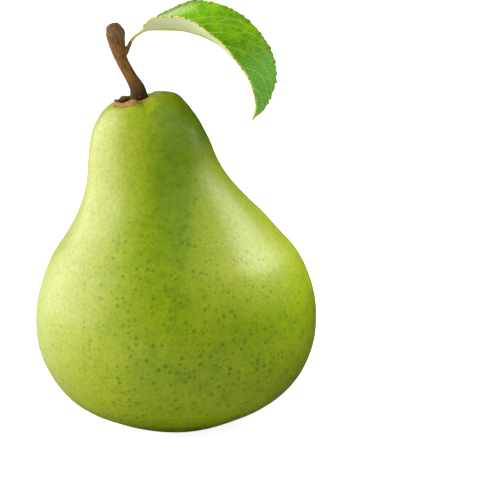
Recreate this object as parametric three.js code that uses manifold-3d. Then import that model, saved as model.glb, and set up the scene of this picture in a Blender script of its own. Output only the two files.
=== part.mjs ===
// A ripe green pear that stands on its base, with its woody stem, one leaf and the dried calyx
// underneath. Millimetres, +Z up. The origin lies on the surface that the pear rests on, under the
// middle of the belly. The neck leans to -X, and the leaf arches over to +X.

import * as THREE from 'three';
import { mergeVertices } from 'three/addons/utils/BufferGeometryUtils.js';
import Module from 'manifold-3d';

const wasm = await Module();
wasm.setup();

// Driving dimensions
const bellyRadius = 37.8;          // the widest ring
const bellyHeight = 27.2;          // and how far up it lies
const neckRadius = 16.1;
const neckHeight = 76.6;
const neckLean = -7;               // how far the neck's middle lies from the belly's
const restInner = 8.5;             // flat ring that the pear stands on
const restOuter = 11.5;
const basinDepth = 4.6;            // hollow under the pear, round the calyx
const crestHeight = 88.6;          // rim round the stem, before it tilts
const crestTilt = 12.5;              // degrees: the rim is higher on its +X side
const stemMiddle = -10.8;          // where the stem enters the flesh
const cavityDepth = 2.7;
const touchGap = 0.3;              // between pieces that touch
const leafThickness = 0.7;
const leafHalfWidth = 9.7;
const leafFold = 107;              // degrees between the two halves of the blade
const leafFacing = 9;              // degrees: the open side of the fold looks to -Y and this far up
const leafTeeth = 26;              // on each margin

const degree = Math.PI / 180;
const fruitSides = 52;

const materials = {
  skin: new THREE.MeshStandardMaterial({ color: 0xa3bb3c, roughness: 0.42, metalness: 0 }),
  bark: new THREE.MeshStandardMaterial({ color: 0x6f5330, roughness: 0.85, metalness: 0 }),
  leafGreen: new THREE.MeshStandardMaterial({ color: 0x5f9a22, roughness: 0.5, metalness: 0 }),
  dried: new THREE.MeshStandardMaterial({ color: 0x3f2a1a, roughness: 0.95, metalness: 0 }),
};

// Joins shared vertices and drops the triangles that have closed up.
function welded(geometry) {
  geometry.deleteAttribute('normal');
  geometry.deleteAttribute('uv');
  const merged = mergeVertices(geometry, 1e-4);
  const corners = merged.index.array;
  const kept = [];
  for (let i = 0; i < corners.length; i += 3) {
    const [a, b, c] = corners.slice(i, i + 3);
    if (a !== b && b !== c && c !== a) kept.push(a, b, c);
  }
  merged.setIndex(kept);
  return merged;
}

function solidOf(geometry) {
  return new wasm.Manifold(new wasm.Mesh({
    numProp: 3,
    vertProperties: new Float32Array(geometry.attributes.position.array),
    triVerts: new Uint32Array(geometry.index.array),
  }));
}

function geometryOf(solid) {
  const mesh = solid.getMesh();
  const geometry = new THREE.BufferGeometry();
  geometry.setAttribute('position', new THREE.BufferAttribute(mesh.vertProperties, mesh.numProp));
  geometry.setIndex(new THREE.BufferAttribute(mesh.triVerts, 1));
  return geometry;
}

function fused(geometries) {
  return geometryOf(geometries.map(solidOf).reduce((whole, piece) => whole.add(piece)));
}

// A closed turned shape. Its rings run from one end to the other, the first and last have no
// radius, and place(ring, angle) gives each point.
function turned(rings, sides, place) {
  const outline = rings.map((ring, i) => new THREE.Vector2(ring.radius, i));
  const shape = new THREE.LatheGeometry(outline, sides);
  const position = shape.attributes.position;
  for (let k = 0; k < position.count; k++) {
    const ring = rings[k % rings.length];
    const side = Math.floor(k / rings.length) % sides;
    const point = place(ring, 2 * Math.PI * side / sides);
    position.setXYZ(k, point.x, point.y, point.z);
  }
  return welded(shape);
}

// Fruit. Each station is a ring: its radius, its height, and how far its middle lies from the
// belly's axis.
const basinStations = [
  [0, basinDepth, 0],
  [2.2, basinDepth - 0.2, 0],
  [4.4, basinDepth - 1.2, 0],
  [6.4, basinDepth - 2.9, 0],
  [restInner, 0, 0],
];
const outerStations = [
  [restOuter, 0, 0],
  [15.5, 1.1, 0],
  [20.1, 3, 0],
  [25.1, 5.4, 0],
  [30.3, 9.3, 0],
  [34.7, 15.4, 0],
  [bellyRadius - 0.7, 21.6, 0],
  [bellyRadius, bellyHeight, 0],
  [bellyRadius - 0.5, 34, 0],
  [35.5, 40.2, 0],
  [32.9, 46.1, -0.2],
  [29.4, 51, -0.6],
  [25.7, 56.2, -1.3],
  [22.2, 61.2, -2.7],
  [19.1, 66.6, -4.4],
  [17.4, 71.6, 0.82 * neckLean],
  [neckRadius, neckHeight, 0.93 * neckLean],
  [14.9, 80, neckLean],
  [13.5, 82.8, neckLean - 0.1],
  [11.9, 85.2, neckLean - 0.4],
  [9.4, 87.8, neckLean - 1.1],
  [7.1, crestHeight, neckLean - 2.1],
  [4.7, crestHeight - 0.3, stemMiddle - 0.2],
  [3.5, crestHeight - 1.3, stemMiddle],
  [2.4, crestHeight - cavityDepth + 0.3, stemMiddle],
  [0, crestHeight - cavityDepth, stemMiddle],
];
const tiltStart = 83;              // the rings above this height tilt more and more

function ringsThrough(stations, ringsPerStation) {
  const curve = new THREE.CatmullRomCurve3(stations.map(station => new THREE.Vector3(...station)));
  const points = curve.getPoints(ringsPerStation * (stations.length - 1));
  return points.map(p => ({ radius: p.x, height: p.y, middle: p.z }));
}

// No fruit is quite round: a slight oval, three soft lobes, and five low ribs round the base.
function roundness(angle, height) {
  const low = Math.exp(-((height / 9) ** 2));
  return 1 + 0.016 * Math.sin(2 * angle) + 0.008 * Math.sin(3 * angle + height / 30)
    + 0.012 * low * Math.cos(5 * angle + 0.6);
}

function fruitPoint(ring, angle) {
  const radius = ring.radius * roundness(angle, ring.height);
  const rise = THREE.MathUtils.clamp((ring.height - tiltStart) / (crestHeight - tiltStart), 0, 1);
  const tilt = crestTilt * degree * rise * rise;
  return new THREE.Vector3(
    ring.middle + radius * Math.cos(angle) * Math.cos(tilt),
    radius * Math.sin(angle),
    ring.height + radius * Math.cos(angle) * Math.sin(tilt));
}

// Stem. Each station is a point of its middle line and the radius there, from the foot up to the
// swollen end that broke off the spur.
const stemStations = [
  [-10.3, 0, 87, 2.3],
  [-10, 0, 88.1, 2.7],
  [-9.75, 0, 89.4, 2.35],
  [-9.9, 0.1, 91.1, 1.95],
  [-11, 0.2, 93.4, 1.65],
  [-12.4, 0.3, 95.9, 1.6],
  [-13.6, 0.3, 98.2, 1.62],
  [-14.4, 0.2, 100.5, 1.85],
  [-15, 0, 103.2, 2.2],
  [-15.3, -0.1, 105.6, 2.45],
  [-15.6, -0.1, 107.6, 2.2],
];
const stemDome = 0.9;              // how far both ends of the stem bulge
const stubStations = [             // the short spur that carries the leaf
  [-14, 0, 99.6, 0.6],
  [-12.9, 0, 100.6, 0.9],
  [-11.9, 0, 102.1, 0.7],
  [-11.3, 0, 103.2, 0.6],
];

// A round bar along stations of [x, y, z, radius], with domed ends. The grooves run lengthwise.
function bar(stations, steps, sides, endBulge, grooves = 0) {
  const middle = new THREE.CatmullRomCurve3(stations.map(([x, y, z]) => new THREE.Vector3(x, y, z)));
  const girth = new THREE.CatmullRomCurve3(stations.map(([, , , r], i) => new THREE.Vector3(i, r, 0)));
  const rings = [];
  for (let i = 0; i <= steps; i++) {
    const t = i / steps;
    rings.push({ radius: girth.getPoint(t).y, at: middle.getPoint(t), along: middle.getTangent(t) });
  }
  const first = rings[0];
  const last = rings[steps];
  const end = (ring, share, lift) => ({
    radius: ring.radius * share,
    at: ring.at.clone().addScaledVector(ring.along, lift),
    along: ring.along,
  });
  const all = [
    end(first, 0, -endBulge), end(first, 0.6, -0.7 * endBulge), ...rings,
    end(last, 0.8, 0.5 * endBulge), end(last, 0.4, 0.9 * endBulge), end(last, 0, endBulge),
  ];
  return turned(all, sides, (ring, angle) => {
    const front = new THREE.Vector3(0, 1, 0).cross(ring.along).normalize();
    const side = new THREE.Vector3().crossVectors(ring.along, front);
    const radius = ring.radius * (1 + grooves * Math.cos(4 * angle + 1));
    return ring.at.clone()
      .addScaledVector(front, radius * Math.cos(angle))
      .addScaledVector(side, radius * Math.sin(angle));
  });
}

// The flesh closes round the foot of the stem.
function makeFruit() {
  const basin = ringsThrough(basinStations, 2);
  const outside = ringsThrough(outerStations, 2);
  basin[0].radius = 0;
  outside[outside.length - 1].radius = 0;
  const flesh = turned([...basin, ...outside], fruitSides, fruitPoint);
  const foot = stemStations.slice(0, 5).map(([x, y, z, r]) => [x, y, z, r + touchGap]);
  const socket = bar(foot, 10, 16, stemDome + touchGap);
  return geometryOf(solidOf(flesh).subtract(solidOf(socket)));
}

function makeStem() {
  const shaft = bar(stemStations, 26, 16, stemDome, 0.035);
  const stub = bar(stubStations, 7, 8, 0.1);
  return fused([shaft, stub]);
}

// Leaf. Its stalk starts at the stub on the stem, and the blade's midrib arches over and hangs.
const stalkStations = [
  [-10.95, 0, 103.8, 0.48],
  [-10.15, 0, 104.8, 0.45],
  [-9.1, 0, 105.6, 0.47],
  [-8, 0, 106.3, 0.55],
  [-6.3, -0.1, 106.8, 0.6],
];
const midribPoints = [
  [-8, 0, 106.5],
  [-2.3, -0.8, 107.1],
  [2.9, -1.4, 106.8],
  [7.9, -2, 105.3],
  [12.7, -2.6, 102.7],
  [16.1, -3, 99.2],
  [18.6, -3.4, 95.8],
  [20.5, -3.8, 92.2],
  [21.6, -4.2, 87.1],
  [20.8, -4.6, 83.4],
];
const midrib = new THREE.CatmullRomCurve3(midribPoints.map(p => new THREE.Vector3(...p)));
const toFront = new THREE.Vector3(0, -Math.cos(leafFacing * degree), Math.sin(leafFacing * degree));
const baseTurn = 24;               // degrees: how far the near half is raised at the base
const baseSpread = 38;             // degrees: how much further the fold opens there
const farCurl = -24;               // degrees: how much each half bends towards its margin
const nearCurl = { base: 6, tip: 1 };
const waveHeight = { far: 0.35, near: 0.12 };
const waveCount = 4.5;             // along each margin
const bladeColumns = 8;            // strips across the blade, an even number
const slimmest = 0.45;             // half width at the two ends of the blade
const toothDepth = 0.45;
const toothHook = 0.4;             // how far the tip of a tooth points on towards the leaf's tip
const toothSteps = [               // along one tooth: place and height, both as shares
  [0, 0],
  [0.45, 0.5],
  [0.86, 1],
];

// The blade turns about its midrib, from the base to halfway, so its near half comes down level.
function nearRise(along) {
  return baseTurn * degree * (1 - THREE.MathUtils.smoothstep(along, 0.05, 0.56));
}

function foldAngle(along) {
  return (leafFold + baseSpread * (1 - THREE.MathUtils.smoothstep(along, 0, 0.42))) * degree;
}

// Rounded at the base and widest at the middle, with a drawn-out tip.
function bladeWidth(along) {
  const narrowing = 0.45 + 0.75 * THREE.MathUtils.smoothstep(along, 0.55, 0.95);
  return leafHalfWidth * (1 - Math.abs(2 * along - 1) ** 2.3) ** narrowing;
}

// A point of the blade's middle surface: along runs from base to tip, across from the near
// margin at -1 to the far margin at 1.
function bladePoint(along, across, width) {
  const at = midrib.getPointAt(along);
  const tangent = midrib.getTangentAt(along);
  const up = new THREE.Vector3().crossVectors(toFront, tangent).normalize();
  const front = new THREE.Vector3().crossVectors(tangent, up);
  const far = across > 0;
  const eased = THREE.MathUtils.smoothstep(along, 0.3, 0.6);
  const curl = (far ? farCurl : THREE.MathUtils.lerp(nearCurl.base, nearCurl.tip, eased)) * degree;
  const start = nearRise(along) + (far ? foldAngle(along) : 0);
  const reach = Math.abs(across);
  const heading = start + curl * reach;
  const wave = (far ? waveHeight.far : waveHeight.near) * reach ** 2
    * Math.sin(2 * Math.PI * waveCount * along);
  const outFront = width * (Math.sin(heading) - Math.sin(start)) / curl + wave * Math.sin(heading);
  const outUp = width * (Math.cos(start) - Math.cos(heading)) / curl - wave * Math.cos(heading);
  return at.addScaledVector(front, outFront).addScaledVector(up, outUp);
}

function bladeNormal(along, across) {
  const step = 0.004;
  const s = THREE.MathUtils.clamp(along, step, 1 - step);
  const t = THREE.MathUtils.clamp(across, -1 + step, 1 - step);
  const width = Math.max(bladeWidth(s), slimmest);
  const lengthwise = bladePoint(s + step, t, width).sub(bladePoint(s - step, t, width));
  const crosswise = bladePoint(s, t + step, width).sub(bladePoint(s, t - step, width));
  return lengthwise.cross(crosswise).normalize();
}

// Rows of the blade from base to tip, with the height of the teeth at each.
function bladeRows() {
  const [firstTooth, lastTooth] = [0.015, 0.985];
  const rows = [{ along: 0, tooth: 0 }];
  for (let tooth = 0; tooth < leafTeeth; tooth++) {
    for (const [place, height] of toothSteps) {
      const share = (tooth + place) / leafTeeth;
      rows.push({ along: THREE.MathUtils.lerp(firstTooth, lastTooth, share), tooth: height });
    }
  }
  rows.push({ along: 1, tooth: 0 });
  return rows;
}

// A sheet of equal thickness, split into triangles alike on both faces, with its rim closed.
function thickSheet(columns, rows, place) {
  const sheet = new THREE.PlaneGeometry(1, 1, columns, rows);
  const count = sheet.attributes.position.count;
  const points = [];
  for (const face of [1, -1]) {
    for (let k = 0; k < count; k++) {
      const point = place(k % (columns + 1), Math.floor(k / (columns + 1)), face);
      points.push(point.x, point.y, point.z);
    }
  }
  const corners = [];
  for (let i = 0; i < sheet.index.count; i += 3) {
    const [a, b, c] = sheet.index.array.slice(i, i + 3);
    corners.push(a, b, c, count + a, count + c, count + b);
  }
  const rim = [];
  for (let column = 0; column < columns; column++) rim.push(column);
  for (let row = 0; row < rows; row++) rim.push(columns + row * (columns + 1));
  for (let column = columns; column > 0; column--) rim.push(column + rows * (columns + 1));
  for (let row = rows; row > 0; row--) rim.push(row * (columns + 1));
  rim.forEach((a, i) => {
    const b = rim[(i + 1) % rim.length];
    corners.push(a, b, count + a, b, count + b, count + a);
  });
  const solid = new THREE.BufferGeometry();
  solid.setAttribute('position', new THREE.Float32BufferAttribute(points, 3));
  solid.setIndex(corners);
  return welded(solid);
}

function makeBlade() {
  const rows = bladeRows();
  return thickSheet(bladeColumns, rows.length - 1, (column, rowIndex, face) => {
    const row = rows[rowIndex];
    const across = 2 * column / bladeColumns - 1;
    const margin = Math.abs(across) ** 6;
    const taper = Math.min(1, bladeWidth(row.along) / 4);
    const tooth = margin * taper * row.tooth;
    const width = Math.max(bladeWidth(row.along), slimmest) + toothDepth * tooth;
    return bladePoint(row.along, across, width)
      .addScaledVector(midrib.getTangentAt(row.along), toothHook * tooth)
      .addScaledVector(bladeNormal(row.along, across), face * leafThickness / 2);
  });
}

// The stalk runs on under the blade as its midrib, thinner and thinner.
function makeLeaf() {
  const rib = midribPoints.slice(1, -1).map((point, i) => [...point, 0.6 - 0.03 * i]);
  const stalk = bar([...stalkStations, ...rib], 36, 8, 0.15);
  return fused([stalk, makeBlade()]);
}

// Calyx: five dried sepals that splay out from a small cup, round a tuft of dried stamens.
const calyxTop = basinDepth - touchGap - 0.1;
const cup = { lowRadius: 1.7, highRadius: 1.5, height: 0.9 };
const tuft = { lowRadius: 0.85, highRadius: 0.5, height: 2.7 };
const sepal = { count: 5, root: 0.9, length: 3.6, width: 2.1, thickness: 0.6, droop: 2.3, slimmest: 0.16 };

function calyxPost({ lowRadius, highRadius, height }, sides) {
  const post = new THREE.CylinderGeometry(highRadius, lowRadius, height, sides).rotateX(Math.PI / 2);
  return welded(post.translate(0, 0, calyxTop - height / 2));
}

function makeSepal(turn) {
  const columns = 2;
  const rows = 6;
  return thickSheet(columns, rows, (column, row, face) => {
    const along = row / rows;
    const across = column / columns - 0.5;
    const side = sepal.width * across * Math.max(1 - along ** 1.6, sepal.slimmest);
    const drop = 0.75 + sepal.droop * along ** 1.5 - 0.5 * Math.abs(across);
    const height = calyxTop - drop + face * sepal.thickness / 2;
    return new THREE.Vector3(sepal.root + sepal.length * along, side, height)
      .applyAxisAngle(new THREE.Vector3(0, 0, 1), turn);
  });
}

function makeCalyx() {
  const sepals = [];
  for (let i = 0; i < sepal.count; i++) sepals.push(makeSepal(2 * Math.PI * (i + 0.2) / sepal.count));
  return fused([calyxPost(cup, 15), calyxPost(tuft, 9), ...sepals]);
}

const pear = new THREE.Group();
const pieces = [
  ['fruit', makeFruit(), materials.skin],
  ['stem', makeStem(), materials.bark],
  ['leaf', makeLeaf(), materials.leafGreen],
  ['calyx', makeCalyx(), materials.dried],
];
for (const [name, geometry, material] of pieces) {
  const mesh = new THREE.Mesh(geometry, material);
  mesh.name = name;
  pear.add(mesh);
}

export default pear;
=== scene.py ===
# A ripe green pear with its woody stem, one leaf and the dried calyx underneath, in a pale studio.
# Every piece is modelled in millimetres and brought to metres when it is finished.

import math
import random

import bmesh
import bpy
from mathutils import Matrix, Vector, kdtree, noise


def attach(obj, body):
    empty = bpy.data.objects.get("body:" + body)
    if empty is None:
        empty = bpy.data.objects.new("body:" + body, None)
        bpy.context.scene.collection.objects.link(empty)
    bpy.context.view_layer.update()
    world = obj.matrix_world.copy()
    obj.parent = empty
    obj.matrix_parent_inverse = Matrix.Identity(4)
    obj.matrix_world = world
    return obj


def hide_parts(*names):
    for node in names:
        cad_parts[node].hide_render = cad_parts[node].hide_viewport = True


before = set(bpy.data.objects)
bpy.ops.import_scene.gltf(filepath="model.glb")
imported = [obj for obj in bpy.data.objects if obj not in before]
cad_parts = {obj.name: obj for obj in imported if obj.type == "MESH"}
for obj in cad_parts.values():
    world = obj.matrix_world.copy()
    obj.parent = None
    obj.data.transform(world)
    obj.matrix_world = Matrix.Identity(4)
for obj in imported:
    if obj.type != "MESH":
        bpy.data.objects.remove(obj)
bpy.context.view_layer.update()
mm = 0.001


# Shared helpers for lines and meshes

def eased(value, low, high):
    share = min(1, max(0, (value - low) / (high - low)))
    return share * share * (3 - 2 * share)


# A point of the smooth line through the stations, at a share from 0 to 1.
def lineAt(stations, share):
    last = len(stations) - 1
    i = min(int(share * last), last - 1)
    u = share * last - i
    b, c = Vector(stations[i]), Vector(stations[i + 1])
    a = Vector(stations[i - 1]) if i > 0 else 2 * b - c
    d = Vector(stations[i + 2]) if i + 2 <= last else 2 * c - b
    ab, bc, cd = (math.sqrt(step.length) for step in (b - a, c - b, d - c))
    leave = ((b - a) / ab - (c - a) / (ab + bc) + (c - b) / bc) * bc
    arrive = ((c - b) / bc - (d - b) / (bc + cd) + (d - c) / cd) * bc
    bend = 3 * (c - b) - 2 * leave - arrive
    twist = 2 * (b - c) + leave + arrive
    return b + leave * u + bend * u * u + twist * u ** 3


def headingAt(stations, share):
    step = 0.0005
    after = lineAt(stations, min(1, share + step)).to_3d()
    before = lineAt(stations, max(0, share - step)).to_3d()
    return (after - before).normalized()


# Shares that cut the line into pieces of equal length, and that length.
def evenShares(stations, pieces):
    samples = 400
    points = [lineAt(stations, i / samples).to_3d() for i in range(samples + 1)]
    run = [0.0]
    for p, q in zip(points, points[1:]):
        run.append(run[-1] + (q - p).length)
    shares, k = [], 0
    for i in range(pieces + 1):
        wanted = run[-1] * i / pieces
        while k < samples - 1 and run[k + 1] < wanted:
            k += 1
        shares.append((k + (wanted - run[k]) / (run[k + 1] - run[k])) / samples)
    return shares, run[-1]


# Two directions across a line that runs mostly in the XZ plane.
def acrossAt(heading):
    front = Vector((0, 1, 0)).cross(heading).normalized()
    return front, heading.cross(front)


# A round bar with domed ends along stations of (x, y, z, radius), added to the mesh.
def addBar(bm, stations, sides, rings, dome):
    domeShare = 0.05
    verts = bmesh.ops.create_grid(bm, x_segments=sides, y_segments=rings, size=0.5)["verts"]
    for vert in verts:
        turn = 2 * math.pi * (vert.co.x + 0.5)
        place = vert.co.y + 0.5
        share = min(1, max(0, (place - domeShare) / (1 - 2 * domeShare)))
        station, heading = lineAt(stations, share), headingAt(stations, share)
        over = max(domeShare - place, place - 1 + domeShare, 0) / domeShare * math.pi / 2
        lift = dome * math.sin(over) * (-1 if place < 0.5 else 1)
        front, side = acrossAt(heading)
        outward = front * math.cos(turn) + side * math.sin(turn)
        vert.co = station.to_3d() + outward * station.w * math.cos(over) + heading * lift
    bmesh.ops.remove_doubles(bm, verts=verts, dist=1e-4)


# The finished mesh becomes a piece that rides on the pear and stands for a CAD node.
def finishPiece(bm, name, node, materials):
    bmesh.ops.scale(bm, vec=(mm, mm, mm), verts=bm.verts)
    mesh = bpy.data.meshes.new(name)
    bm.to_mesh(mesh)
    bm.free()
    mesh.shade_smooth()
    piece = bpy.data.objects.new(name, mesh)
    bpy.context.scene.collection.objects.link(piece)
    for material in materials:
        mesh.materials.append(material)
    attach(piece, "root")
    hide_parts(node)
    print(f"{name}: {len(mesh.polygons)} faces")
    return piece


# Shared helpers for materials

def tint(red, green, blue):                      # from an 8-bit screen colour
    def linear(value):
        share = value / 255
        return share / 12.92 if share <= 0.04045 else ((share + 0.055) / 1.055) ** 2.4
    return linear(red), linear(green), linear(blue), 1


# Adds a node. An input is a number or colour, or another node's output.
def put(tree, kind, inputs=None, **settings):
    made = tree.nodes.new("ShaderNode" + kind)
    for name, value in settings.items():
        setattr(made, name, value)
    for name, value in (inputs or {}).items():
        if isinstance(value, bpy.types.NodeSocket):
            tree.links.new(value, made.inputs[name])
        else:
            made.inputs[name].default_value = value
    return made


def reckon(tree, operation, a, b=0.0):
    return put(tree, "Math", {0: a, 1: b}, operation=operation).outputs[0]


def product(tree, *factors):
    result = factors[0]
    for factor in factors[1:]:
        result = reckon(tree, "MULTIPLY", result, factor)
    return result


def mixed(tree, share, a, b):
    return put(tree, "Mix", {0: share, 6: a, 7: b}, data_type="RGBA").outputs[2]


def ramped(tree, value, low, high, first=0.0, last=1.0):
    ends = {"Value": value, "From Min": low, "From Max": high, "To Min": first, "To Max": last}
    return put(tree, "MapRange", ends, interpolation_type="SMOOTHSTEP").outputs["Result"]


def newGroup(name, numbers):
    group = bpy.data.node_groups.new(name, "ShaderNodeTree")
    group.interface.new_socket(name="Place", in_out="INPUT", socket_type="NodeSocketVector")
    for label, value in numbers.items():
        socket = group.interface.new_socket(name=label, in_out="INPUT", socket_type="NodeSocketFloat")
        socket.default_value = value
    group.interface.new_socket(name="Mask", in_out="OUTPUT", socket_type="NodeSocketFloat")
    return group, group.nodes.new("NodeGroupInput").outputs, group.nodes.new("NodeGroupOutput")


# Soft patches: a mask from noise, cut between two levels.
def makeCloudGroup():
    numbers = {"Scale": 100, "Roughness": 0.55, "Low": 0.4, "High": 0.6}
    group, given, out = newGroup("softPatches", numbers)
    grain = put(group, "TexNoise", {
        "Vector": given["Place"], "Scale": given["Scale"], "Roughness": given["Roughness"], "Detail": 4,
    })
    mask = ramped(group, grain.outputs["Fac"], given["Low"], given["High"])
    group.links.new(mask, out.inputs["Mask"])
    return group


# Round specks that differ in size and strength. Spacing is a length, size a share of it.
def makeSpeckGroup():
    group, given, out = newGroup("roundSpecks", {"Spacing": 0.002, "Size": 0.3})
    scale = reckon(group, "DIVIDE", 1.0, given["Spacing"])
    cells = put(group, "TexVoronoi", {"Vector": given["Place"], "Scale": scale})
    chance = put(group, "SeparateColor", {"Color": cells.outputs["Color"]}).outputs
    size = reckon(group, "MULTIPLY", given["Size"], ramped(group, chance["Red"], 0, 1, 0.6, 1.25))
    core = reckon(group, "MULTIPLY", size, 0.2)
    spot = ramped(group, cells.outputs["Distance"], size, core)
    mask = reckon(group, "MULTIPLY", spot, ramped(group, chance["Green"], 0.0, 0.8, 0.35, 1.0))
    group.links.new(mask, out.inputs["Mask"])
    return group


cloudGroup = makeCloudGroup()
speckGroup = makeSpeckGroup()


def cloud(tree, place, scale, low=0.4, high=0.6, roughness=0.55):
    made = put(tree, "Group", node_tree=cloudGroup)
    tree.links.new(place, made.inputs["Place"])
    for name, value in (("Scale", scale), ("Low", low), ("High", high), ("Roughness", roughness)):
        made.inputs[name].default_value = value
    return made.outputs["Mask"]


def specks(tree, place, spacing, size):
    made = put(tree, "Group", node_tree=speckGroup)
    tree.links.new(place, made.inputs["Place"])
    made.inputs["Spacing"].default_value = spacing
    made.inputs["Size"].default_value = size
    return made.outputs["Mask"]


def newMaterial(name):
    material = bpy.data.materials.new(name)
    material.use_nodes = True
    material.node_tree.nodes.clear()
    return material, material.node_tree


def objectPlace(tree):
    return put(tree, "TexCoord").outputs["Object"]


def attribute(tree, name):
    return put(tree, "Attribute", attribute_name=name).outputs


# Adds masks to those already there: clouds of noise, then zones, which are products of ramps.
# A ramp names the mask or coordinate that it follows, its two ends and, if not 0 and 1, its values.
def addMasks(tree, masks, place, look):
    for name, levels in look["clouds"].items():
        masks[name] = cloud(tree, place, *levels)
    for name, ramps in look["zones"].items():
        masks[name] = product(tree, *(ramped(tree, masks[source], *ends) for source, *ends in ramps))


# Lays colours over the first one in turn: each where its masks meet, at its share of strength.
def layered(tree, colour, masks, look):
    for names, share, over in look["layers"]:
        mask = product(tree, *(masks[name] for name in names), share)
        colour = mixed(tree, mask, colour, look[over])
    return colour


# The height of the relief: the sum of masks, each at its share.
def reliefOf(tree, masks, look):
    height = 0.0
    for name, share in look["relief"]:
        height = reckon(tree, "ADD", product(tree, masks[name], share), height)
    return height


# The surface: height is in units of depth, which is in metres. Further inputs have _ for a space.
def surface(tree, colour, roughness, height, depth, **further):
    bump = put(tree, "Bump", {"Height": height, "Distance": depth, "Strength": 1.0})
    inputs = {"Base Color": colour, "Roughness": roughness, "Normal": bump.outputs["Normal"]}
    for name, value in further.items():
        inputs[name.replace("_", " ")] = value
    shader = put(tree, "BsdfPrincipled", inputs)
    put(tree, "OutputMaterial", {"Surface": shader.outputs["BSDF"]})


# Camera and studio

cameraForm = {
    "distance": 750, "elevation": 13, "target": (20.05, 0, 47.2), "lens": 201.96, "sensor": 36,
}


def makeCamera(form):
    data = bpy.data.cameras.new("camera")
    data.lens = form["lens"]
    data.sensor_width = form["sensor"]
    camera = bpy.data.objects.new("camera", data)
    bpy.context.scene.collection.objects.link(camera)
    angle = math.radians(form["elevation"])
    back = Vector((0, -math.cos(angle), math.sin(angle)))
    camera.location = (Vector(form["target"]) + back * form["distance"]) * mm
    camera.rotation_euler = (-back).to_track_quat("-Z", "Y").to_euler()
    bpy.context.scene.camera = camera


makeCamera(cameraForm)

studio = {
    "air": 0.06, "backdrop": 1.0,
    "floorSize": 4.0, "wall": 1.4, "bend": 0.5, "bendSteps": 12,      # metres
    "floorColour": 0.75, "floorGlow": 0.9, "floorRoughness": 0.7,
    "mirroredColour": 0.03, "mirroredFrom": (-0.1, 0.0),
    # name, place and aim in millimetres, width and height in metres, brightness, colour, degrees of
    # spread and whether it shows in gloss
    "lights": [
        ("leftBox", (-585, 93, 144), (0, 0, 50), 0.97, 0.95, 3.3, (1, 0.91, 0.94), 180, True),
        ("rightBox", (76, 14, 90), (26, -6, 40), 0.085, 0.045, 0.95, (1, 0.94, 0.9), 56, True),
        ("rightFill", (450, -150, 720), (0, 0, 50), 0.8, 0.8, 2.25, (1, 0.97, 0.86), 180, False),
        ("leftFill", (-680, -520, 328), (0, 0, 50), 0.8, 0.9, 2.15, (1, 0.88, 0.6), 180, False),
        ("fill", (250, -620, 652), (0, 0, 50), 1.2, 1.0, 0.3, (1, 1, 0.95), 180, False),
    ],
}


def makeAir(form):
    bpy.context.scene.view_settings.view_transform = "Standard"
    world = bpy.data.worlds.new("studioAir")
    world.use_nodes = True
    bpy.context.scene.world = world
    tree = world.node_tree
    seen = put(tree, "LightPath").outputs["Is Camera Ray"]
    background = tree.nodes["Background"].inputs
    background["Color"].default_value = (1, 1, 1, 1)
    tree.links.new(ramped(tree, seen, 0, 1, form["air"], form["backdrop"]), background["Strength"])


def makeLight(name, place, aim, width, height, brightness, colour, spread, glossy):
    data = bpy.data.lights.new(name, "AREA")
    data.shape = "RECTANGLE"
    data.size, data.size_y = width, height
    data.energy = brightness * math.pi * width * height
    data.color = colour
    data.spread = math.radians(spread)
    light = bpy.data.objects.new(name, data)
    bpy.context.scene.collection.objects.link(light)
    light.location = Vector(place) * mm
    light.rotation_euler = (Vector(aim) - Vector(place)).to_track_quat("-Z", "Y").to_euler()
    light.visible_glossy = glossy
    light.visible_camera = False


def makeFloorMaterial(form):
    material, tree = newMaterial("paleFloor")
    rays = put(tree, "LightPath").outputs
    # the skin mirrors little of the floor in front and to the right
    x = put(tree, "SeparateXYZ", {"Vector": objectPlace(tree)}).outputs["X"]
    mirrored = product(tree, rays["Is Glossy Ray"], ramped(tree, x, *form["mirroredFrom"]))
    pale, dim = ((form[name],) * 3 + (1,) for name in ("floorColour", "mirroredColour"))
    shader = put(tree, "BsdfPrincipled", {
        "Base Color": mixed(tree, mirrored, pale, dim), "Roughness": form["floorRoughness"],
        "Emission Color": (1, 1, 1, 1),
        "Emission Strength": product(tree, rays["Is Camera Ray"], form["floorGlow"]),
    })
    put(tree, "OutputMaterial", {"Surface": shader.outputs["BSDF"]})
    return material


# Floor and wall are one sheet, with a round bend between them.
def makeFloor(form):
    half, wall, bend = form["floorSize"] / 2, form["wall"], form["bend"]
    steps = form["bendSteps"]
    outline = [(-half, 0), (wall - bend, 0)]
    for i in range(1, steps + 1):
        turn = math.radians(90 * i / steps)
        outline.append((wall - bend + bend * math.sin(turn), bend - bend * math.cos(turn)))
    outline.append((wall, half))
    bm = bmesh.new()
    line = [bm.verts.new((-half, y, z)) for y, z in outline]
    edges = [bm.edges.new(pair) for pair in zip(line, line[1:])]
    swept = bmesh.ops.extrude_edge_only(bm, edges=edges)["geom"]
    moved = [item for item in swept if isinstance(item, bmesh.types.BMVert)]
    bmesh.ops.translate(bm, vec=(form["floorSize"], 0, 0), verts=moved)
    bmesh.ops.recalc_face_normals(bm, faces=bm.faces)
    mesh = bpy.data.meshes.new("floor")
    bm.to_mesh(mesh)
    bm.free()
    mesh.shade_smooth()
    mesh.materials.append(makeFloorMaterial(form))
    floor = bpy.data.objects.new("floor", mesh)
    bpy.context.scene.collection.objects.link(floor)


makeAir(studio)
for lightForm in studio["lights"]:
    makeLight(*lightForm)
makeFloor(studio)
print("studio ready")


# Fruit

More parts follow.
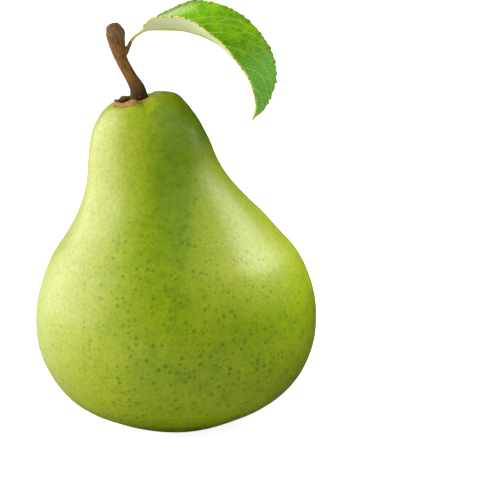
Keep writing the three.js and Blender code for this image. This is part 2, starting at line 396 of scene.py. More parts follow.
pear = {
    "belly": 37.8, "bellyHeight": 27.2, "neck": 16.1, "neckHeight": 76.6, "lean": -7,
    "restInner": 8.5, "restOuter": 11.5, "basinDepth": 4.6,
    "crest": 88.6, "crestTilt": 12.5, "tiltStart": 83, "stemMiddle": -10.8, "cavityDepth": 2.7,
    "hollowInner": 3.3, "hollowOuter": 4.9,                 # radii between which painted shade darkens the cavity
    "sides": 240, "ringsPerStation": 9,
    "twoLobes": 0.016, "threeLobes": 0.008, "lobeTwist": 30,
    "footLobes": 0.012, "footLobeTurn": 0.6, "footLobeHeight": 9,
    "dipPlace": -7.4, "dipWidth": 1.9, "dip": 0.9,          # the crest sinks beside the stem
    "dipHeights": (85.5, 88),
    "lumps": [(17, 0.2), (6, 0.08), (2.2, 0.025)],          # size and height
    "lumpHeights": (0.5, 8),                                # where they start and are full
    "shrink": 0.13,                                         # keeps the lumps inside the true outline
    "puckers": 7, "puckerHeight": 0.28,                     # folds of the skin round the stem
    "puckerAway": 5.6, "puckerSpread": 2.4, "puckerBend": 3, "puckerGrain": 5,
}


# Rings of (radius, height, middle), from the calyx basin round the belly to the stem's cavity.
def pearRings(form):
    lean, crest, stem = form["lean"], form["crest"], form["stemMiddle"]
    basin, belly = form["basinDepth"], form["belly"]
    inside = [
        (0, basin, 0), (2.2, basin - 0.2, 0), (4.4, basin - 1.2, 0), (6.4, basin - 2.9, 0),
        (form["restInner"], 0, 0),
    ]
    outside = [
        (form["restOuter"], 0, 0), (15.5, 1.1, 0), (20.1, 3, 0), (25.1, 5.4, 0), (30.3, 9.3, 0),
        (34.7, 15.4, 0), (belly - 0.7, 21.6, 0), (belly, form["bellyHeight"], 0), (belly - 0.5, 34, 0),
        (35.5, 40.2, 0), (32.9, 46.1, -0.2), (29.4, 51, -0.6), (25.7, 56.2, -1.3), (22.2, 61.2, -2.7),
        (19.1, 66.6, -4.4), (17.4, 71.6, 0.82 * lean), (form["neck"], form["neckHeight"], 0.93 * lean),
        (14.9, 80, lean), (13.5, 82.8, lean - 0.1), (11.9, 85.2, lean - 0.4), (9.4, 87.8, lean - 1.1),
        (7.1, crest - 0.1, lean - 2.1), (4.9, crest + 0.1, stem - 0.2), (3.7, crest - 0.9, stem),
        (2.4, crest - form["cavityDepth"] + 0.3, stem), (0, crest - form["cavityDepth"], stem),
    ]
    rings = []
    for stations in (inside, outside):
        count = form["ringsPerStation"] * (len(stations) - 1)
        rings += [lineAt(stations, i / count) for i in range(count + 1)]
    return rings


def pearRoundness(angle, height, form):
    low = math.exp(-((height / form["footLobeHeight"]) ** 2))
    lobes = form["twoLobes"] * math.sin(2 * angle)
    lobes += form["threeLobes"] * math.sin(3 * angle + height / form["lobeTwist"])
    return 1 + lobes + form["footLobes"] * low * math.cos(5 * angle + form["footLobeTurn"])


def pearPoint(radius, angle, height, middle, form):
    radius *= pearRoundness(angle, height, form)
    rise = min(1, max(0, (height - form["tiltStart"]) / (form["crest"] - form["tiltStart"])))
    tilt = math.radians(form["crestTilt"]) * rise * rise
    out = radius * math.cos(angle)
    x, z = middle + out * math.cos(tilt), height + out * math.sin(tilt)
    dip = form["dip"] * math.exp(-(((x - form["dipPlace"]) / form["dipWidth"]) ** 2))
    z -= dip * eased(height, *form["dipHeights"])
    return Vector((x, radius * math.sin(angle), z))


# Low lumps all over, none where the pear rests, and folds that run into the stem's cavity.
def skinRelief(at, form):
    lumps = sum(height * noise.noise(at / size) for size, height in form["lumps"])
    stem = Vector((form["stemMiddle"], 0, form["crest"]))
    away = at - stem
    near = math.exp(-((away.length - form["puckerAway"]) / form["puckerSpread"]) ** 2)
    turn = math.atan2(away.y, away.x)
    bend = form["puckerBend"] * noise.noise(at / form["puckerGrain"])
    folds = form["puckerHeight"] * near * math.sin(form["puckers"] * turn + bend)
    return (lumps - form["shrink"]) * eased(at.z, *form["lumpHeights"]) + folds


def makePear(form, material):
    bm = bmesh.new()
    middles = bm.verts.layers.float.new("middle")
    hollows = bm.verts.layers.float.new("hollow")
    profile = []
    for radius, height, middle in pearRings(form):
        vert = bm.verts.new((max(radius, 0), 0, height))
        vert[middles] = middle
        # painted shade: near the stem, inside the cavity, the skin is marked to turn near black
        if height > form["tiltStart"]:
            vert[hollows] = 1 - eased(radius, form["hollowInner"], form["hollowOuter"])
        profile.append(vert)
    edges = [bm.edges.new(pair) for pair in zip(profile, profile[1:])]
    bmesh.ops.spin(bm, geom=profile + edges, cent=(0, 0, 0), axis=(0, 0, 1), angle=2 * math.pi,
                   steps=form["sides"], use_merge=True)
    for vert in bm.verts:
        x, y, z = vert.co
        vert.co = pearPoint(math.hypot(x, y), math.atan2(y, x), z, vert[middles], form)
    bmesh.ops.remove_doubles(bm, verts=bm.verts, dist=1e-3)
    bmesh.ops.recalc_face_normals(bm, faces=bm.faces)
    bm.normal_update()
    moves = [(vert, vert.normal * skinRelief(vert.co, form)) for vert in bm.verts]
    for vert, move in moves:
        vert.co += move
    finishPiece(bm, "pearFlesh", "fruit", [material])


skin = {
    # pale serves as a painted sheen along the left edge
    "green": tint(128, 161, 0), "light": tint(152, 177, 2), "pale": tint(174, 189, 84),
    "base": tint(174, 190, 16), "deep": tint(104, 140, 0), "speck": tint(92, 124, 0),
    # the near black colour is painted shade for the inside of the stem's cavity
    "russet": tint(172, 138, 74), "russetDark": tint(124, 90, 40), "hollow": tint(52, 28, 8),
    # grains in a metre, the two levels of noise between which the cloud rises, and its roughness
    "clouds": {
        "broad": (24, 0.38, 0.62), "soft": (110,), "blotches": (300, 0.42, 0.66, 0.7),
        "mottling": (620, 0.47, 0.64, 0.6), "fine": (900, 0.3, 0.7), "ragged": (520, 0.25, 0.75, 0.7),
        "tanGrain": (1300, 0.35, 0.65), "tanRelief": (1700, 0.2, 0.8),
    },
    # the neck is narrower than the body, so its left edge is nearer the middle
    "neckInset": (0.045, 0.065, 0, 0.014),
    # ramps follow x, height and the place of the left edge, in metres, or an earlier zone
    "zones": {
        # partly the fruit's own sun side, partly painted light: the left side, where the big left lamp
        # falls, is mixed lighter and yellower
        "sunSideAndPaintedLight": [("x", 0.002, -0.024)],
        # painted light: the right shoulder, where the right lamps fall, is mixed lighter and yellower
        "paintedShoulderLight": [("x", 0.0, 0.014), ("height", 0.084, 0.068), ("height", 0.03, 0.05)],
        "low": [("height", 0.034, 0.0)],
        # painted sheen: a pale band along the left edge stands in for the left lamp's highlight
        "paintedLeftSheen": [("edge", -0.018, -0.036)],
        # painted light: the top of the crest, on its left, is mixed lighter where light falls from above
        "crest": [("height", 0.084, 0.09), ("x", 0.007, -0.002)],
        "shady": [
            ("height", 0.044, 0.07), ("sunSideAndPaintedLight", 0.35, 0.0), ("height", 0.092, 0.084),
            ("paintedShoulderLight", 0.0, 0.6, 1, 0.1),
        ],
        # the mottling and the specks fade on the lit left side and right shoulder: partly the skin's own
        # change, partly painted highlight that washes them out there
        "mottled": [
            ("height", 0.025, 0.06), ("sunSideAndPaintedLight", 0.5, 0.0), ("paintedShoulderLight", 0.0, 0.5, 1, 0.1),
            ("height", 0.092, 0.084, 0.3, 1),
        ],
        "specked": [
            ("height", 0.082, 0.045, 0.55, 0.95), ("edge", -0.008, -0.027, 1, 0.35),
            ("paintedShoulderLight", 0, 1, 1, 0.5),
        ],
        "smooth": [("sunSideAndPaintedLight", 0.6, 0.0), ("paintedShoulderLight", 0.5, 0.0)],
    },
    # painted light and shade: the base colour laid over the left side (partly its own sun side), the left
    # edge, crest and right shoulder lightens them where the lamps fall; the deep colour over the shady
    # middle darkens it
    "layers": [
        (["broad"], 1, "light"), (["soft"], 0.45, "light"), (["blotches"], 0.55, "deep"),
        (["low"], 0.35, "base"), (["sunSideAndPaintedLight"], 0.62, "base"), (["paintedLeftSheen"], 0.7, "pale"),
        (["crest"], 0.4, "base"), (["paintedShoulderLight"], 0.8, "base"), (["shady"], 0.62, "deep"),
        (["mottled", "mottling"], 0.6, "speck"), (["fine"], 0.35, "deep"),
        (["dots", "specked"], 1, "speck"),
    ],
    # specks: spacing in metres, and size as a share of it
    "largeSpecks": (0.0015, 0.46), "smallSpecks": (0.0009, 0.4), "smallStrength": 0.5,
    # russet, in millimetres: the radii between which it ends, round the stem and in the basin
    "russetMiddle": (-11.5, -0.3, 88.2), "russetShape": (1, 0.62, 0.8),
    "stemRusset": (5.3, 5.8), "basinRusset": (6.5, 8.1), "raggedDepth": 1.3,
    # the front between the two pale sides is a little smoother, so it takes no haze from them
    "roughness": (0.42, 0.33), "russetRoughness": 0.8,
    "coat": 0.3, "coatRoughness": 0.33, "dotMatt": 0.8,
    "relief": [("fine", 0.35), ("dots", -0.5), ("russetGrain", 1)], "depth": 0.00008,
    "inside": 0.06, "insideRadius": (1, 0.9, 0.25), "insideScale": 0.002,      # light inside the flesh
}


def makeRusset(tree, place, ragged, look):
    rough = product(tree, ragged, look["raggedDepth"] * mm)
    middle = tuple(value * mm for value in look["russetMiddle"])
    off = put(tree, "VectorMath", {0: place, 1: middle}, operation="SUBTRACT").outputs[0]
    off = put(tree, "VectorMath", {0: off, 1: look["russetShape"]}, operation="MULTIPLY").outputs[0]
    found = []
    for at, (inner, outer) in ((off, look["stemRusset"]), (place, look["basinRusset"])):
        away = put(tree, "VectorMath", {0: at}, operation="LENGTH").outputs["Value"]
        found.append(ramped(tree, reckon(tree, "ADD", away, rough), outer * mm, inner * mm))
    return reckon(tree, "MAXIMUM", *found)


def makeSkinMaterial(look):
    material, tree = newMaterial("pearSkin")
    place = objectPlace(tree)
    axes = put(tree, "SeparateXYZ", {"Vector": place}).outputs
    inset = ramped(tree, axes["Z"], *look["neckInset"])
    masks = {
        "x": axes["X"], "height": axes["Z"], "edge": reckon(tree, "SUBTRACT", axes["X"], inset),
    }
    addMasks(tree, masks, place, look)
    large, small = (specks(tree, place, *look[name]) for name in ("largeSpecks", "smallSpecks"))
    dots = reckon(tree, "MAXIMUM", large, product(tree, small, look["smallStrength"]))
    russet = makeRusset(tree, place, masks["ragged"], look)
    masks |= {"dots": dots, "russetGrain": product(tree, russet, masks["tanRelief"])}

    colour = layered(tree, look["green"], masks, look)
    tan = mixed(tree, masks["tanGrain"], look["russet"], look["russetDark"])
    # painted shade: inside the stem's cavity the russet turns near black
    tan = mixed(tree, attribute(tree, "hollow")["Fac"], tan, look["hollow"])
    colour = mixed(tree, russet, colour, tan)
    roughness = ramped(tree, masks["smooth"], 0, 1, *look["roughness"])
    roughness = reckon(tree, "MAXIMUM", roughness, product(tree, russet, look["russetRoughness"]))
    matt = reckon(tree, "MAXIMUM", russet, product(tree, dots, look["dotMatt"]))
    surface(tree, colour, roughness, reliefOf(tree, masks, look), look["depth"],
            Coat_Weight=ramped(tree, matt, 0, 1, look["coat"], 0), Coat_Roughness=look["coatRoughness"],
            Subsurface_Weight=look["inside"], Subsurface_Radius=look["insideRadius"],
            Subsurface_Scale=look["insideScale"])
    return material


makePear(pear, makeSkinMaterial(skin))


# Stem

stem = {
    "shaft": [
        (-9.4, 0, 86.6, 2.2), (-9.25, 0, 88.1, 2.4), (-9.35, 0, 89.4, 2.25), (-9.75, 0.1, 91.1, 1.95),
        (-11, 0.2, 93.4, 1.65), (-12.4, 0.3, 95.9, 1.6), (-13.6, 0.3, 98.2, 1.62),
        (-14.4, 0.2, 100.5, 1.85), (-15, 0, 103.2, 2.2), (-15.3, -0.1, 105.4, 2.45),
        (-15.75, -0.1, 107, 2.05),
    ],
    "stub": [
        (-14, 0, 99.2, 0.6), (-12.9, 0, 100.4, 0.85), (-11.9, 0, 102.1, 0.58), (-11.2, 0, 103.5, 0.47),
    ],
    "shaftSides": 48, "shaftRings": 150, "shaftDome": 1.4,
    "stubSides": 24, "stubRings": 40, "stubDome": 0.1,
    "voxel": 0.13, "smoothing": 4, "samples": 160,
    # height in millimetres, and grains in a millimetre across and along
    "ridges": (0.13, 1.1, 0.13), "grain": (0.05, 4, 0.9),
    "knobHeights": (101, 106), "knobRelief": 0.14, "knobGrain": 1.3, "knobStretch": 0.5,
}


# Where a point lies if the stem were straight: across, across and along, in millimetres.
def straightener(form):
    samples = []
    count = form["samples"]
    for stations in (form["shaft"], form["stub"]):
        shares, length = evenShares(stations, count)
        for i, share in enumerate(shares):
            heading = headingAt(stations, share)
            samples.append((lineAt(stations, share).to_3d(), heading, length * i / count))
    tree = kdtree.KDTree(len(samples))
    for i, (point, _, _) in enumerate(samples):
        tree.insert(point, i)
    tree.balance()

    def straight(at):
        point, heading, along = samples[tree.find(at)[1]]
        front, side = acrossAt(heading)
        off = at - point
        return Vector((off.dot(front), off.dot(side), along + off.dot(heading)))
    return straight


def barkRelief(at, straight, form):
    x, y, along = straight
    relief = 0
    for height, across, lengthwise in (form["ridges"], form["grain"]):
        relief += height * noise.noise(Vector((x * across, y * across, along * lengthwise)))
    knob = form["knobRelief"] * eased(at.z, *form["knobHeights"])
    return relief + knob * noise.noise(Vector((x, y, along * form["knobStretch"])) * form["knobGrain"])


def makeStem(form, material):
    bm = bmesh.new()
    for part in ("shaft", "stub"):
        addBar(bm, form[part], form[part + "Sides"], form[part + "Rings"], form[part + "Dome"])
    bmesh.ops.recalc_face_normals(bm, faces=bm.faces)
    rough = bpy.data.meshes.new("stemRough")
    bm.to_mesh(rough)
    bm.free()
    holder = bpy.data.objects.new("stemRough", rough)
    bpy.context.scene.collection.objects.link(holder)
    remesh = holder.modifiers.new("join", "REMESH")
    remesh.mode = "VOXEL"
    remesh.voxel_size = form["voxel"]
    joined = bpy.data.meshes.new_from_object(holder.evaluated_get(bpy.context.evaluated_depsgraph_get()))
    bpy.data.objects.remove(holder)

    bm = bmesh.new()
    bm.from_mesh(joined)
    for _ in range(form["smoothing"]):
        bmesh.ops.smooth_vert(bm, verts=bm.verts, factor=0.5, use_axis_x=True, use_axis_y=True,
                              use_axis_z=True)
    bm.normal_update()
    lengthwise = bm.verts.layers.float_vector.new("lengthwise")
    straight = straightener(form)
    moves = []
    for vert in bm.verts:
        vert[lengthwise] = straight(vert.co)
        moves.append(vert.normal * barkRelief(vert.co, vert[lengthwise], form))
    for vert, move in zip(bm.verts, moves):
        vert.co += move
    finishPiece(bm, "stemWood", "stem", [material])


bark = {
    "brown": tint(138, 96, 36), "light": tint(170, 132, 74), "dark": tint(84, 52, 14),
    # foot is near black, partly the wood's own colour, partly painted shade where the stem enters the
    # cavity
    "knob": tint(84, 80, 58), "foot": tint(46, 24, 2),
    "stretch": 0.12,                                        # the grain is long along the stem
    "clouds": {
        "streaks": (2.4, 0.35, 0.65), "fineStreaks": (7, 0.35, 0.65), "patches": (1.5, 0.42, 0.58),
    },
    # towards its foot the stem turns near black: partly the wood's own colour, partly painted shade where
    # it enters the cavity
    "zones": {"top": [("height", 0.1005, 0.1055)], "footColourAndShade": [("height", 0.0955, 0.089)]},
    "warts": (0.0011, 0.3),
    "layers": [
        (["streaks"], 1, "dark"), (["fineStreaks"], 0.45, "light"), (["top", "patches"], 0.8, "knob"),
        (["footColourAndShade"], 0.85, "foot"), (["warts"], 0.5, "light"),
    ],
    "relief": [("fineStreaks", 0.6), ("warts", 0.5)], "depth": 0.00012,
    "roughness": (0.62, 0.8), "specular": 0.35,
}


def makeBarkMaterial(look):
    material, tree = newMaterial("pearBark")
    place = objectPlace(tree)
    straight = attribute(tree, "lengthwise")["Vector"]
    grain = put(tree, "Mapping", {"Vector": straight, "Scale": (1, 1, look["stretch"])}).outputs["Vector"]
    masks = {
        "height": put(tree, "SeparateXYZ", {"Vector": place}).outputs["Z"],
        "warts": specks(tree, place, *look["warts"]),
    }
    addMasks(tree, masks, grain, look)
    surface(tree, layered(tree, look["brown"], masks, look),
            ramped(tree, masks["streaks"], 0, 1, *look["roughness"]),
            reliefOf(tree, masks, look), look["depth"], Specular_IOR_Level=look["specular"])
    return material


makeStem(stem, makeBarkMaterial(bark))


# Leaf

blade = {
    "midrib": [
        (-8, 0, 106.5), (-2.3, -0.8, 107.1), (2.9, -1.4, 106.8), (7.9, -2, 105.3), (12.7, -2.6, 102.7),
        (16.1, -3, 99.2), (18.6, -3.4, 95.8), (20.5, -3.8, 92.2), (21.6, -4.2, 87.1), (20.8, -4.6, 83.4),
    ],
    "facing": 9, "halfWidth": 9.7, "slimmest": 0.35, "thickness": 0.28,
    "squareness": 2.3, "baseNarrowing": 0.45, "tipNarrowing": 0.75, "narrowingEnds": (0.55, 0.95),
    "fold": 107, "baseSpread": 38, "baseSpreadEnd": 0.42, "baseTurn": 24, "baseTurnEnds": (0.05, 0.56),
    "farCurl": -24, "nearCurlBase": 6, "nearCurlTip": 1, "nearCurlEnds": (0.3, 0.6),
    "waveFar": 0.35, "waveNear": 0.12, "waves": 4.5,
    "baseWidth": 3.2, "baseEnd": 0.07, "baseRound": 0.8,
    "teeth": 34, "toothDepth": 0.36, "toothHook": 0.36, "toothCrest": 0.8, "fullToothWidth": 4,
    "toothEnds": (0.015, 0.06, 0.96, 0.985),
    "rollWidth": 0.9, "rollTurn": 70, "rollBend": 1.8, "rollShift": -0.1,
    "rollEnds": (0.0, 0.08, 0.2, 0.36),
    "columns": 80, "rowsPerTooth": 12, "crossSteps": 4,
    "ribWidth": 0.5, "veinDepth": 0.13, "veinWidth": 0.2, "crumple": 0.06, "crumpleSize": 1.6,
    "crumpleEnd": 0.2,
    # where a side vein leaves the midrib and where it fades near the margin, as shares of the length
    "sideVeins": [
        (0.02, 0.3), (0.1, 0.58), (0.225, 0.655), (0.35, 0.73), (0.49, 0.88), (0.65, 0.935),
        (0.79, 0.98),
    ],
    "veinShift": 0.012, "veinReach": 0.9, "veinBow": 1.25, "veinFade": 0.6, "veinSteps": 60,
    "archStart": 0.85, "archEnd": 0.5, "archDrop": 0.35, "archBow": 0.04, "archStrength": 0.4,
    "branchSpots": (0.35, 0.6), "branchReach": 0.2, "branchRun": 0.075, "branchStrength": 0.3,
    "branchSteps": 19,
}


def bladeWidth(along, form):
    narrowing = form["baseNarrowing"] + form["tipNarrowing"] * eased(along, *form["narrowingEnds"])
    full = form["halfWidth"] * max(0, 1 - abs(2 * along - 1) ** form["squareness"]) ** narrowing
    return max(full, form["slimmest"], form["baseWidth"] * (1 - eased(along, 0, form["baseEnd"])))


# How far the far half's margin rolls forward, from 0 to 1.
def rollShare(along, form):
    a, b, c, d = form["rollEnds"]
    return eased(along, a, b) * (1 - eased(along, c, d))


# A tooth's height from 0 to 1: a slow rise and a short drop, with teeth of uneven length and height.
def toothAt(along, form):
    place = along * form["teeth"] + 0.22 * math.sin(along * 41) + 0.12 * math.sin(along * 97 + 2)
    within, which = place % 1, int(place)
    height = 0.75 + 0.25 * math.sin(which * 2.4)
    crest = form["toothCrest"]
    rise = (within / crest) ** 1.4 if within < crest else (1 - within) / (1 - crest)
    a, b, c, d = form["toothEnds"]
    return height * rise * eased(along, a, b) * (1 - eased(along, c, d))


# The line across one half of the blade: for each column, how far it lies to the front and up,
# and its heading there.
def crossLine(along, far, form, columns):
    width = bladeWidth(along, form)
    roll = rollShare(along, form) if far else 0
    total = width + form["rollWidth"] * roll
    rise = math.radians(form["baseTurn"]) * (1 - eased(along, *form["baseTurnEnds"]))
    spread = form["baseSpread"] * (1 - eased(along, 0, form["baseSpreadEnd"]))
    fold = math.radians(form["fold"] + spread)
    start = rise + (fold if far else 0)
    tipward = eased(along, *form["nearCurlEnds"])
    near = form["nearCurlBase"] * (1 - tipward) + form["nearCurlTip"] * tipward
    curl = math.radians(form["farCurl"] if far else near)
    bend = form["rollBend"] / 2
    front, up = 0.0, 0.0
    line = [(front, up, start)]
    parts = form["crossSteps"]
    for i in range(columns * parts):
        reach = total * (i + 0.5) / (columns * parts)
        heading = start + curl * min(1, reach / width)
        crease = width + form["rollShift"]
        heading -= math.radians(form["rollTurn"]) * roll * eased(reach, crease - bend, crease + bend)
        front += math.cos(heading) * total / (columns * parts)
        up += math.sin(heading) * total / (columns * parts)
        if i % parts == parts - 1:
            line.append((front, up, heading))
    return line, total


# Veins as points on the flat blade: across and along in millimetres, with their strength.
def veinPoints(length, form):
    def onVein(root, end, reach):
        return root + (end - root) * reach ** form["veinBow"]

    points = []
    steps, branchSteps = form["veinSteps"], form["branchSteps"]
    for side in (-1, 1):
        for k, (root, end) in enumerate(form["sideVeins"]):
            root += form["veinShift"] * side
            end += form["veinShift"] * side
            for i in range(steps + 1):
                reach = form["veinReach"] * i / steps
                points.append((reach, side, onVein(root, end, reach), 1 - form["veinFade"] * reach))
            # a thinner arch joins each vein to the next one, inside the margin
            if k + 1 < len(form["sideVeins"]):
                target = onVein(*form["sideVeins"][k + 1], form["archEnd"])
                here = onVein(root, end, form["archStart"])
                for i in range(steps + 1):
                    share = i / steps
                    reach = form["archStart"] + form["archBow"] * math.sin(math.pi * share)
                    reach -= form["archDrop"] * share ** 1.5
                    points.append((reach, side, here + (target - here) * share, form["archStrength"]))
            # two short branches run forward from each vein
            for spot in form["branchSpots"]:
                for i in range(branchSteps + 1):
                    share = i / branchSteps
                    reach = spot + form["branchReach"] * share
                    along = onVein(root, end, spot) + form["branchRun"] * share
                    points.append((reach, side, along, form["branchStrength"] * (1 - share)))
    return [(reach * side * bladeWidth(along, form), along * length, strength)
            for reach, side, along, strength in points if 0 < along < 1]


def makeBlade(form, materials):
    length = evenShares(form["midrib"], 1)[1]
    rows = form["teeth"] * form["rowsPerTooth"]
    half = form["columns"] // 2
    facing = math.radians(form["facing"])
    toFront = Vector((0, -math.cos(facing), math.sin(facing)))
    shares, _ = evenShares(form["midrib"], rows)
    veins = veinPoints(length, form)
    nearest = kdtree.KDTree(len(veins))
    for i, (x, y, _) in enumerate(veins):
        nearest.insert((x, y, 0), i)
    nearest.balance()

    bm = bmesh.new()
    flatLayer = bm.verts.layers.float_vector.new("flat")
    veinLayer = bm.verts.layers.float.new("vein")
    edgeLayer = bm.verts.layers.float.new("edge")
    tipLayer = bm.verts.layers.float.new("toothTip")
    verts = bmesh.ops.create_grid(bm, x_segments=form["columns"], y_segments=rows, size=0.5)["verts"]
    byRow = {}
    for vert in verts:
        byRow.setdefault(round((vert.co.y + 0.5) * rows), []).append(vert)
    for row, members in byRow.items():
        along = row / rows
        at = lineAt(form["midrib"], shares[row]).to_3d()
        tangent = headingAt(form["midrib"], shares[row])
        up = toFront.cross(tangent).normalized()
        front = tangent.cross(up)
        lines = {far: crossLine(along, far, form, half) for far in (False, True)}
        tooth = toothAt(along, form) * min(1, bladeWidth(along, form) / form["fullToothWidth"])
        for vert in members:
            column = round(vert.co.x * form["columns"])
            far = column > 0
            line, total = lines[far]
            reach = abs(column) / half
            outFront, outUp, heading = line[abs(column)]
            direction = front * math.cos(heading) + up * math.sin(heading)
            sign = 1 if far else -1
            upper = (front * math.sin(heading) - up * math.cos(heading)) * sign
            wave = form["waveFar"] if far else form["waveNear"]
            wave *= reach ** 2 * math.sin(2 * math.pi * form["waves"] * along)
            margin = reach ** 6 * tooth
            flatX = sign * reach * total
            _, index, distance = nearest.find((flatX, along * length, 0))
            vein = veins[index][2] * math.exp(-((distance / form["veinWidth"]) ** 2))
            rib = math.exp(-((flatX / form["ribWidth"]) ** 2))
            flatPlace = Vector((flatX, along * length, 0))
            crumple = form["crumple"] * noise.noise(flatPlace / form["crumpleSize"])
            sink = form["veinDepth"] * (vein + rib) - crumple * eased(reach, 0, form["crumpleEnd"])
            vert.co = at + front * outFront + up * outUp - upper * (sink + wave * sign)
            vert.co += direction * form["toothDepth"] * margin + tangent * form["toothHook"] * margin
            vert.co += tangent * form["baseRound"] * reach ** 2 * (1 - eased(along, 0, form["baseEnd"]))
            vert[flatLayer] = (flatX, along * length, 0)
            vert[veinLayer] = min(1, vein + rib)
            vert[edgeLayer] = (1 - reach) * total
            vert[tipLayer] = margin
    bmesh.ops.reverse_faces(bm, faces=bm.faces)
    piece = finishPiece(bm, "leafBlade", "leaf", materials)
    thick = piece.modifiers.new("thickness", "SOLIDIFY")
    thick.thickness = form["thickness"] * mm
    thick.offset = 0
    thick.material_offset = 1
    thick.material_offset_rim = 1


# The blade's two sides. Places are in millimetres on the flat blade: along is from the base and edge
# from the margin. The nets are cells between the finest veins.
leafTop = {
    "first": tint(146, 206, 0), "deep": tint(96, 176, 0), "tip": tint(138, 216, 106),
    "veinColour": tint(206, 236, 84), "pale": tint(211, 235, 178), "toothColour": tint(150, 84, 30),
    "nets": {"net": 1.1, "fineNet": 2.6},
    "clouds": {"broad": (0.35, 0.35, 0.65), "grain": (2.2, 0.35, 0.65)},
    "half": "GREATER_THAN",                                 # the far half
    "zones": {
        "cool": [("along", 24, 34)],
        "netLine": [("net", 0.09, 0.0)],
        # the far half turns pale, in the underside's colour, near its margin at the base
        "paleNearBase": [
            ("along", 0.5, 3.5), ("along", 13.5, 8), ("edge", 4.8, 1.8), ("grain", 0, 1, 0.9, 0.45),
        ],
        "tooth": [("toothTip", 0.25, 0.6)],
        "cells": [("net", 0.0, 0.25)],
        "fineCells": [("fineNet", 0, 0.2)],
    },
    "layers": [
        (["broad"], 1, "deep"), (["cool"], 0.9, "tip"), (["grain"], 0.35, "deep"),
        (["netLine"], 0.22, "veinColour"), (["vein"], 0.85, "veinColour"), (["paleNearBase", "half"], 1, "pale"),
        (["tooth"], 0.6, "toothColour"),
    ],
    "relief": [("cells", 1), ("fineCells", 0.4)], "depth": 0.00012,
    "roughness": (0.5, 0.62), "specular": 0.2,
}

leafUnderside = {
    "first": tint(211, 235, 178), "pale": tint(244, 250, 232), "veinColour": tint(222, 234, 136),
    "margin": tint(220, 230, 110), "toothColour": tint(150, 84, 30),
    "nets": {"net": 1.1},
    "clouds": {"grain": (3.0, 0.35, 0.65)},
    "half": "LESS_THAN",                                    # the near half
    "zones": {
        "netLine": [("net", 0.1, 0.0)],
        "rim": [("edge", 0.75, 0.45)],
        "tooth": [("toothTip", 0.35, 0.7)],
        "cords": [("net", 0.2, 0.0)],
    },
    "layers": [
        (["grain"], 1, "pale"), (["netLine"], 0.25, "veinColour"), (["vein"], 0.7, "veinColour"),
        (["half", "rim"], 0.9, "margin"), (["tooth"], 0.85, "toothColour"),
    ],
    "relief": [("cords", 1), ("grain", 0.5)], "depth": 0.0001,
    "roughness": (0.7, 0.85), "specular": 0.3,
}


def makeLeafMaterial(name, look):
    material, tree = newMaterial(name)
    flat = attribute(tree, "flat")["Vector"]
    axes = put(tree, "SeparateXYZ", {"Vector": flat}).outputs
    masks = {"along": axes["Y"], "half": reckon(tree, look["half"], axes["X"], 0.0)}
    for layer in ("vein", "edge", "toothTip"):
        masks[layer] = attribute(tree, layer)["Fac"]
    for net, scale in look["nets"].items():
        cells = put(tree, "TexVoronoi", {"Vector": flat, "Scale": scale}, feature="DISTANCE_TO_EDGE")
        masks[net] = cells.outputs["Distance"]
    addMasks(tree, masks, flat, look)
    surface(tree, layered(tree, look["first"], masks, look),
            ramped(tree, masks["grain"], 0, 1, *look["roughness"]),
            reliefOf(tree, masks, look), look["depth"], Specular_IOR_Level=look["specular"])
    return material


makeBlade(blade, [
    makeLeafMaterial("leafTop", leafTop), makeLeafMaterial("leafUnderside", leafUnderside),
])

stalk = {
    "start": [(-11.75, 0, 102.4, 0.42), (-11.3, 0, 103.3, 0.42), (-10.95, 0, 103.8, 0.41),
              (-10.15, 0, 104.8, 0.38), (-9.1, 0, 105.6, 0.39), (-8, 0, 106.3, 0.44),
              (-6.3, -0.1, 106.75, 0.46)],
    "ribRadius": 0.45, "ribEnd": 0.16, "ribDrop": 0.2,      # the rib lies a little below the blade
    "sides": 20, "rings": 220, "dome": 0.2,
    "green": tint(178, 196, 88), "red": tint(120, 86, 44), "pale": tint(204, 214, 120),
    "redFrom": (-0.0109, -0.0114), "cloud": (700, 0.35, 0.65),
    "bumps": (1500, 0.3, 0.7), "depth": 0.00005, "roughness": 0.55,
}


def makeStalk(form, bladeForm):
    inner = bladeForm["midrib"][1:-1]
    stations = list(form["start"])
    for i, (x, y, z) in enumerate(inner):
        share = i / (len(inner) - 1)
        radius = form["ribRadius"] * (1 - share) + form["ribEnd"] * share
        stations.append((x, y, z - form["ribDrop"] * (1 - share), radius))
    bm = bmesh.new()
    addBar(bm, stations, form["sides"], form["rings"], form["dome"])
    bmesh.ops.recalc_face_normals(bm, faces=bm.faces)
    material, tree = newMaterial("leafStalk")
    place = objectPlace(tree)
    x = put(tree, "SeparateXYZ", {"Vector": place}).outputs["X"]
    colour = mixed(tree, cloud(tree, place, *form["cloud"]), form["green"], form["pale"])
    colour = mixed(tree, ramped(tree, x, *form["redFrom"]), colour, form["red"])
    surface(tree, colour, form["roughness"], cloud(tree, place, *form["bumps"]), form["depth"])
    finishPiece(bm, "leafStalk", "leaf", [material])


makeStalk(stalk, blade)


# Calyx

calyx = {
    "top": 4.2,
    "sepals": 5, "sepalGrid": (8, 24), "firstTurn": 0.2, "root": 0.9, "length": 3.5, "width": 2.2,
    "thickness": 0.22, "start": 0.75, "droop": 2.2, "curl": 0.5, "sway": 0.25, "crumple": 0.12,
    "slimmest": 0.04,
    "cup": [(0, 0.2), (1.2, 0), (1.75, -0.5), (1.55, -1), (1.0, -1.15), (0, -0.7)], "cupSides": 40,
    "stamens": 18, "stamenRadius": 0.09, "stamenLength": 1.9, "stamenStart": 0.8, "stamenBow": 0.25,
    "stamenSides": 8, "stamenRings": 16, "stamenDome": 0.08, "seed": 4,
    "dark": tint(58, 38, 22), "light": tint(118, 88, 54), "cloud": (900, 0.35, 0.65),
    "bumps": (2200, 0.3, 0.7), "depth": 0.0001, "roughness": 0.85,
}


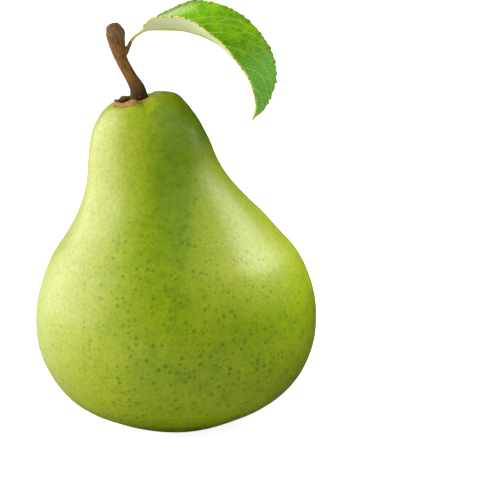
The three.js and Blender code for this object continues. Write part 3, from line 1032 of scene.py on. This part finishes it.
def addSepal(bm, i, form):
    turn = 2 * math.pi * (i + form["firstTurn"]) / form["sepals"]
    columns, rows = form["sepalGrid"]
    verts = bmesh.ops.create_grid(bm, x_segments=columns, y_segments=rows, size=0.5)["verts"]
    for vert in verts:
        across, along = vert.co.x, vert.co.y + 0.5
        side = form["width"] * across * max(form["slimmest"], 1 - along ** 1.6)
        side += form["sway"] * math.sin(3 * along + i)
        drop = form["start"] + form["droop"] * along ** 1.5
        drop -= form["curl"] * abs(across) * 2 * (1 - along)
        drop += form["crumple"] * noise.noise(Vector((across * 3, along * 5, i)))
        out = form["root"] + form["length"] * along
        vert.co = (out * math.cos(turn) - side * math.sin(turn),
                   out * math.sin(turn) + side * math.cos(turn), form["top"] - drop)


def addStamen(bm, i, chance, form):
    turn = 2 * math.pi * i / form["stamens"] + chance.uniform(-0.2, 0.2)
    lean = chance.uniform(0.1, 0.75)
    size = form["stamenLength"] * chance.uniform(0.7, 1)
    out = Vector((math.cos(turn), math.sin(turn), 0))
    foot = out * chance.uniform(0.3, 1.0) + Vector((0, 0, form["top"] - form["stamenStart"]))
    tip = foot + out * size * lean + Vector((0, 0, -size * (1 - 0.35 * lean)))
    middle = (foot + tip) / 2 + out * form["stamenBow"]
    nearTip = tip * 0.98 + middle * 0.02
    radius = form["stamenRadius"]
    stations = [(*foot, radius), (*middle, radius * 0.8), (*nearTip, radius * 1.6), (*tip, radius)]
    addBar(bm, stations, form["stamenSides"], form["stamenRings"], form["stamenDome"])


def makeCalyx(form):
    bm = bmesh.new()
    for i in range(form["sepals"]):
        addSepal(bm, i, form)
    bmesh.ops.recalc_face_normals(bm, faces=bm.faces)
    bmesh.ops.solidify(bm, geom=bm.faces[:], thickness=form["thickness"])

    line = [bm.verts.new((radius, 0, form["top"] + height)) for radius, height in form["cup"]]
    edges = [bm.edges.new(pair) for pair in zip(line, line[1:])]
    bmesh.ops.spin(bm, geom=line + edges, cent=(0, 0, 0), axis=(0, 0, 1), angle=2 * math.pi,
                   steps=form["cupSides"], use_merge=True)
    onAxis = [vert for vert in bm.verts if vert.co.xy.length < 1e-4]
    bmesh.ops.remove_doubles(bm, verts=onAxis, dist=1e-3)

    chance = random.Random(form["seed"])
    for i in range(form["stamens"]):
        addStamen(bm, i, chance, form)
    bmesh.ops.recalc_face_normals(bm, faces=bm.faces)

    material, tree = newMaterial("driedCalyx")
    place = objectPlace(tree)
    colour = mixed(tree, cloud(tree, place, *form["cloud"]), form["dark"], form["light"])
    surface(tree, colour, form["roughness"], cloud(tree, place, *form["bumps"]), form["depth"])
    finishPiece(bm, "calyxRemnant", "calyx", [material])


makeCalyx(calyx)
